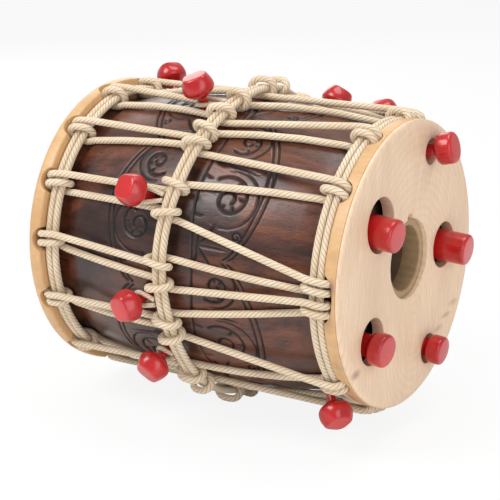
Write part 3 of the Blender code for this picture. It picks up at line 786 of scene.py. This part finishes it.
def carvedLines():
    # Every cut point of both halves, as (x, along the girth, half width, depth)
    store = []
    girth = math.tau * shell["belly"]
    lobe = girth / carving["lobes"]
    shift = math.radians(carving["turn"]) * shell["belly"]
    for side in (-1, 1):
        offset = shift + lobeStart[side] * lobe
        for number in range(carving["lobes"]):
            carveLobe(side, offset + number * lobe, lobe, store)
    return store


def shellHalf(side):
    # One half of the barrel's outline, from the middle of the drum to its end and back inside
    reach = carving["reach"]
    ends = shell["chamferX"]
    outside = [(side * x, shellRadius(side * x))
               for x in (*np.linspace(0.0, reach, carving["points"]), 0.114, 0.128, ends)]
    inside = [(side * x, shellRadius(side * x) - shell["wall"]) for x in (0.132, 0.066, 0.0)]
    if side > 0:
        return [*outside, (shell["neckX"], shell["rightNeck"]), (shell["rightX"], shell["rightNeck"]),
                (shell["rightX"], shell["seat"]), (shell["seatX"], shell["seat"]),
                (shell["seatX"], shell["rightBore"]), *inside]
    return [*outside, (-shell["neckX"], shell["leftNeck"]), (shell["leftX"], shell["leftNeck"]),
            (shell["leftX"], shell["leftBore"]), (-shell["neckX"], shell["leftBore"]), *inside]


def makeShell(material):
    store = carvedLines()
    girth = math.tau * shell["belly"]
    tree = kdtree.KDTree(len(store) * 3)
    for i, (x, y, width, depth) in enumerate(store):
        wrapped = y % girth
        for turn, shifted in enumerate((wrapped, wrapped - girth, wrapped + girth)):
            tree.insert((x, shifted, 0.0), i * 3 + turn)
    tree.balance()
    # Two halves that meet under the middle ring keep each piece's mesh within bounds
    for side, name in ((-1, "carved_shell_left"), (1, "carved_shell_right")):
        carveHalf(name, shellHalf(side), store, tree, material)
    print("shell carved with", len(store), "cut points")


def carveHalf(name, outline, store, tree, material):
    # Draws each point of the outside in by the deepest cut that lies over it
    mesh = turned(name, outline, carving["sides"], True, Matrix.Identity(4))
    count = len(mesh.vertices)
    points = np.empty(count * 3)
    mesh.vertices.foreach_get("co", points)
    points = points.reshape(-1, 3)
    radius = np.hypot(points[:, 1], points[:, 2])
    carved = np.zeros(count)
    angle = np.arctan2(-points[:, 1], points[:, 2]) % math.tau
    for i in range(count):
        x = points[i, 0]
        if abs(x) > carving["reach"] or radius[i] < shellRadius(x) - 0.002:
            continue
        deepest = 0.0
        for found, index, apart in tree.find_n((x, angle[i] * shell["belly"], 0.0), 3):
            line = store[index // 3]
            if apart < line[2]:
                deepest = max(deepest, line[3] * (1 - (apart / line[2]) ** 1.3))
        if deepest:
            carved[i] = deepest / carving["depth"]
            points[i, 1:] *= (radius[i] - deepest) / radius[i]
    mesh.vertices.foreach_set("co", points.ravel())
    # The carve depth is also used by the rosewood material to paint shade into the grooves
    mesh.attributes.new("carved", "FLOAT", "POINT").data.foreach_set("value", np.clip(carved, 0, 1))
    mesh.transform(toFrame)
    mesh.update()
    addPiece(name, mesh, material, "barrel")


# Hoops, hide and end board

hoops = {"innerX": 0.1683, "leftRadius": 0.1600, "leftEnd": 0.1860, "lipX": 0.1815, "lipRadius": 0.1240,
         "rightRadius": 0.1500, "rightEnd": 0.1817, "notchDepth": 0.0101, "over": 0.0015, "pair": 10.0,
         "sides": 144}
notchHalf = knot["pitch"] * 2 / 3 + rope["radius"] + 0.0008


def notchTools(angles, bore, outer, side):
    # One rounded cutter for each knot; knots that are close together share one
    groups = []
    for angle in sorted(a % 360 for a in wholeTurn(angles)):
        if groups and angle - groups[-1][1] < hoops["pair"]:
            groups[-1][1] = angle
        else:
            groups.append([angle, angle])
    bm = bmesh.new()
    spread = math.degrees(notchHalf / bore)
    for first, last in groups:
        angle = (first + last) / 2
        wide = 2 * math.tan(math.radians((last - first) / 2 + spread)) * (outer + bore) / 2
        spot = Matrix.Rotation(math.radians(angle), 4, "X") @ Matrix.Translation(
            (side * (hoops["innerX"] - hoops["over"]), 0.0, (bore + outer) / 2))
        size = Matrix.Diagonal((hoops["notchDepth"] + hoops["over"], wide * 0.56,
                                outer - bore + 0.010, 1.0))
        bmesh.ops.create_cone(bm, cap_ends=True, segments=40, radius1=1.0, radius2=1.0, depth=1.0,
                              matrix=spot @ size)
    mesh = bpy.data.meshes.new("notches")
    bm.to_mesh(mesh)
    bm.free()
    mesh.transform(toFrame)
    return mesh


def makeHoops(material):
    bore = shell["leftNeck"] + fitGap
    big = hoops["leftRadius"]
    inner, end = hoops["innerX"], hoops["leftEnd"]
    outline = [(-inner, bore), (-inner, big), (-end, big), (-end, hoops["lipRadius"]),
               (-hoops["lipX"], hoops["lipRadius"]), (-hoops["lipX"], bore)]
    mesh = turned("left_honey_hoop", rounded(outline, {1: 0.0035, 2: 0.0090, 3: 0.0020}, 6),
                  hoops["sides"], True)
    left = addPiece("left_honey_hoop", mesh, material, "left_hoop")
    carveOut(left, [notchTools(knotAngles["left"], bore, big, -1)], 0.0014)
    bore = shell["rightNeck"] + fitGap
    big = hoops["rightRadius"]
    outline = [(inner, bore), (inner, big), (hoops["rightEnd"], big), (hoops["rightEnd"], bore)]
    mesh = turned("right_honey_hoop", rounded(outline, {1: 0.0025, 2: 0.0004}, 4), hoops["sides"], True)
    right = addPiece("right_honey_hoop", mesh, material, "right_hoop")
    carveOut(right, [notchTools(knotAngles["right"], bore, big, 1)], 0.0010)
    print("hoops turned and notched")


hideHead = {"thick": 0.0010, "caneWidth": 0.0032, "caneInner": 0.1285, "caneEdge": 0.001,
            "sides": 96}


def makeHide(hide, cane):
    near = shell["leftX"] - fitGap
    far = near - hideHead["thick"]
    radius = shell["leftNeck"] - fitGap
    outline = [(near, 0.0), (near, radius), (far, radius), (far, radius - 0.012),
               (near - 0.0008, 0.090), (near - 0.0009, 0.045), (near - 0.0009, 0.0)]
    mesh = turned("drum_skin", outline, hideHead["sides"])
    addPiece("drum_skin", mesh, hide, "hide_head")
    near = far - fitGap
    far = near - hideHead["caneWidth"]
    inner = hideHead["caneInner"]
    outline = [(near, inner), (near, radius), (far, radius), (far, inner)]
    cuts = dict.fromkeys(range(4), hideHead["caneEdge"])
    mesh = turned("cane_hoop", rounded(outline, cuts, 3), hideHead["sides"], True)
    addPiece("cane_hoop", mesh, cane, "flesh_hoop")


# Each hole in the end board for a peg: its middle and its radius
pegHoles = ((-0.067, 0.057, 0.0285), (-0.080, -0.060, 0.0245), (0.080, 0.003, 0.0250),
            (0.0435, 0.111, 0.0140), (0.0495, -0.105, 0.0165))


def drill(radius, low, high, y, z, sides=96):
    return turned("drill", [(low, 0.0), (low, radius), (high, radius), (high, 0.0)], sides,
                  spot=toFrame @ Matrix.Translation((0.0, y, z)))


def makeEndBoard(pale, liner):
    face = board["faceX"]
    rimX = face - board["rim"]
    backX = rimX - board["plug"]
    neck = shell["rightNeck"]
    outline = [(backX, 0.0), (backX, neck), (rimX, neck), (rimX, board["outer"]),
               (face - 0.0020, board["outer"] - 0.0002), (face, board["faceRadius"]), (face, 0.0)]
    mesh = turned("pale_end_board", rounded(outline, {3: 0.0006, 4: 0.0028, 5: 0.0024}, 5), 160)
    piece = addPiece("pale_end_board", mesh, pale, "end_board")
    over = 0.010
    hubY, hubZ = board["hubY"], board["hubZ"]
    notchZ = hubZ + board["hubRadius"]
    tools = [drill(board["hubRadius"], backX - over, face + over, hubY, hubZ),
             drill(board["notchRadius"], backX - over, face + over, hubY, notchZ, 32)]
    tools += [drill(radius, backX - over, face + over, y, z) for y, z, radius in pegHoles]
    carveOut(piece, tools, 0.0009)
    lip = face - board["linerRecess"]
    bore = board["linerRadius"]
    outer = board["hubRadius"] - fitGap
    outline = [(board["linerBack"], bore), (board["linerBack"], outer), (lip, outer), (lip, bore)]
    spot = toFrame @ Matrix.Translation((0.0, hubY, hubZ))
    mesh = turned("hub_ring", rounded(outline, {2: 0.0008, 3: 0.0022}, 4), 96, True, spot)
    piece = addPiece("hub_ring", mesh, liner, "hub_liner")
    carveOut(piece, [drill(board["linerNotch"], lip - 0.006, lip + 0.01, hubY, notchZ, 24)], 0.0004)
    print("end board drilled")


# Pegs

# Each end peg: its seat in the peg board, its tip, the radii of its neck and head, and its head's length
endPegs = {
    "a": {"seat": (-0.070, 0.053), "tip": (0.2090, -0.0725, 0.0495), "neck": 0.0168, "head": 0.0170,
          "length": 0.030},
    "b": {"seat": (-0.081, -0.061), "tip": (0.2070, -0.0850, -0.0655), "neck": 0.0120, "head": 0.0172,
          "length": 0.0165},
    "c": {"seat": (0.084, 0.003), "tip": (0.2140, 0.0860, -0.0010), "neck": 0.0166, "head": 0.0168,
          "length": 0.034},
    "d": {"seat": (0.0400, 0.1045), "tip": (0.2130, 0.0460, 0.1180), "neck": 0.0070, "head": 0.0165,
          "length": 0.0190},
    "e": {"seat": (0.0465, -0.0990), "tip": (0.2070, 0.0475, -0.1045), "neck": 0.0100, "head": 0.0155,
          "length": 0.0165},
}
pegSeat = {"x": 0.1560, "half": 0.0060, "shank": 0.0080, "wall": 0.0018, "flange": 0.0022,
           "flangeThick": 0.0012, "tail": 0.0060}

# Each shell peg: angle, place along the drum, lean, length of its neck, and whether it has a cord
shellPegs = {
    "1": (18.5, -0.0275, -12.0, 0.0180, True), "2": (62.9, -0.0380, -12.0, 0.0180, True),
    "3": (100.5, -0.0340, -12.0, 0.0180, True), "4": (125.0, -0.0245, -12.0, 0.0180, True),
    "5": (143.0, 0.1380, 35.0, 0.0240, False), "6": (229.5, -0.0340, -12.0, 0.0180, True),
    "7": (259.5, -0.0340, -12.0, 0.0180, True), "8": (319.0, 0.0270, 12.0, 0.0180, True),
    "9": (318.0, 0.1050, -20.0, 0.0180, False), "10": (334.0, -0.1380, -35.0, 0.0240, False),
}
shellPegShape = {"radius": 0.0172, "length": 0.0245, "shank": 0.0044, "depth": 0.0090}


def markEndHighlight(mesh, spot, tipX):
    # 1 on the flat face at a peg's tip, which the lacquer paints a lighter red as a painted highlight
    back = spot.inverted()
    marks = [1.0 if (back @ v.co).x > tipX - 0.0006 else 0.0 for v in mesh.vertices]
    mesh.attributes.new("paintedEndHighlight", "FLOAT", "POINT").data.foreach_set("value", marks)


def facet(mesh, spot, startX, fullX, amount, phase):
    # Draws a turned head in on four sides, so that its end is a rounded square
    back = spot.inverted()
    for vertex in mesh.vertices:
        local = back @ vertex.co
        share = min(max((local.x - startX) / (fullX - startX), 0.0), 1.0)
        swell = 1 + amount * share * math.cos(4 * (math.atan2(local.y, local.z) + phase))
        vertex.co = spot @ Vector((local.x, local.y * swell, local.z * swell))
    mesh.update()


def makeEndPegs(lacquer, steel):
    half = pegSeat["half"]
    for letter, peg in endPegs.items():
        seat = Vector((pegSeat["x"], *peg["seat"]))
        run = Vector(peg["tip"]) - seat
        length = run.length
        spot = toFrame @ Matrix.Translation(seat) @ aim(run)
        lean = run.angle(Vector((1, 0, 0)))
        bore = pegSeat["shank"] + slideGap
        outer = bore + pegSeat["wall"]
        flange = outer + pegSeat["flange"]
        faceX = half + fitGap + flange * math.tan(lean)
        top = faceX + pegSeat["flangeThick"]
        outline = [(-half, bore), (-half, outer), (faceX, outer), (faceX, flange), (top, flange),
                   (top, bore)]
        cuts = {3: 0.0003, 4: 0.0006, 5: 0.0004}
        mesh = turned("ferrule_ring_" + letter, rounded(outline, cuts, 3), 48, True, spot)
        addPiece("ferrule_ring_" + letter, mesh, steel, "ferrule_" + letter)
        collar = top + slideGap
        neck, head = peg["neck"], peg["head"]
        headX = length - peg["length"]
        outline = [(-half - pegSeat["tail"], 0.0), (-half - pegSeat["tail"], pegSeat["shank"] - 0.0008),
                   (collar, pegSeat["shank"]), (collar + 0.0002, neck), (headX - 0.0020, neck),
                   (headX + 0.0015, head), (length, head), (length, 0.0)]
        cuts = {1: 0.001, 3: 0.0015, 4: 0.0020, 5: 0.0030, 6: 0.0042}
        mesh = turned("red_peg_" + letter, rounded(outline, cuts, 7), 72, False, spot)
        markEndHighlight(mesh, spot, length)
        addPiece("red_peg_" + letter, mesh, lacquer, "peg_" + letter,
                 "end_peg_" + letter)
    print("end pegs turned")


def makeShellPegs(lacquer, cordMaterial):
    shape = shellPegShape
    for name, (angle, rootX, lean, neck, corded) in shellPegs.items():
        root = onDrum(rootX, shellRadius(rootX), angle)
        tilt = math.radians(lean)
        direction = math.cos(tilt) * onDrum(0.0, 1.0, angle) + math.sin(tilt) * Vector((1, 0, 0))
        spot = toFrame @ Matrix.Translation(root) @ aim(direction)
        head = neck + shape["length"]
        big = shape["radius"]
        outline = [(-shape["depth"], 0.0), (-shape["depth"], shape["shank"]), (neck, shape["shank"]),
                   (neck, 0.0080), (neck + 0.0070, big), (neck + 0.0150, big), (head, big - 0.0042),
                   (head, 0.0)]
        cuts = {3: 0.0020, 4: 0.0040, 5: 0.0045, 6: 0.0026}
        mesh = turned("red_knob_" + name, rounded(outline, cuts, 6), 64, False, spot)
        facet(mesh, spot, neck + 0.010, head, 0.060, 0.4 * int(name))
        markEndHighlight(mesh, spot, head)
        addPiece("red_knob_" + name, mesh, lacquer, "shell_peg_" + name)
        if corded:
            makePegCord(name, angle, root, direction, neck, cordMaterial)
    print("shell pegs turned")


def makePegCord(name, angle, root, direction, neck, material):
    # A hairpin of cord from the middle ring, hooked over the peg's neck, just under its head
    ring = ringLay["mid"]
    look = pegCord
    hook = root + direction * (neck - 2 * look["radius"] - 2 * slideGap)
    ringX = ring["x"](angle)
    way = 1.0 if ringX > hook.x else -1.0
    reach = rope["pitch"] / 2 + rope["radius"] + look["radius"] / 2 + fitGap
    start = onDrum(ringX - way * reach, ring["radius"], angle)
    along = onDrum(0.0, 1.0, angle + 90.0)
    pull = start - hook
    forward = (pull - pull.dot(direction) * direction).normalized()
    bend = (shellPegShape["shank"] + look["radius"] + slideGap) / math.cos(math.pi / 8)
    middle = (start + hook) / 2
    arc = [hook + bend * (math.sin(turn) * along - math.cos(turn) * forward)
           for turn in np.linspace(math.pi / 2, -math.pi / 2, 5)]
    route = [start + along * look["endSpread"], middle + along * look["sideSpread"], *arc,
             middle - along * look["sideSpread"], start - along * look["endSpread"]]
    laidRope("peg_loop_" + name, softPath(route, look["bend"], look["step"]), look, material,
             "peg_cord_" + name)


def main():
    makeCamera()
    makeLights()
    ropeLook = ropeFinish()
    lacquer = lacquerFinish()
    pale = boardFinish("pale_wood", (0.87, 0.66, 0.47), (0.70, 0.47, 0.30), 0.48, faceStains)
    honey = boardFinish("honey_wood", (0.72, 0.45, 0.22), (0.54, 0.30, 0.12), 0.40, hoopStains)
    liner = boardFinish("liner_wood", (0.46, 0.31, 0.17), (0.27, 0.16, 0.08), 0.45)
    inner = boardFinish("inner_wood", (0.15, 0.09, 0.055), (0.07, 0.04, 0.025), 0.70)
    cane = boardFinish("cane_strip", (0.62, 0.46, 0.27), (0.42, 0.28, 0.14), 0.55)
    makeRings(ropeLook)
    makeLacing(ropeLook)
    makeShell(rosewoodFinish())
    makeHoops(honey)
    makeHide(hideFinish(), cane)
    makeEndBoard(pale, liner)
    makeEndPegs(lacquer, steelFinish())
    makeShellPegs(lacquer, ropeLook)
    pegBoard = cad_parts["peg_board"]
    pegBoard.data.materials.clear()
    pegBoard.data.materials.append(inner)
    low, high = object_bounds()
    makeFloor(low[2])


main()
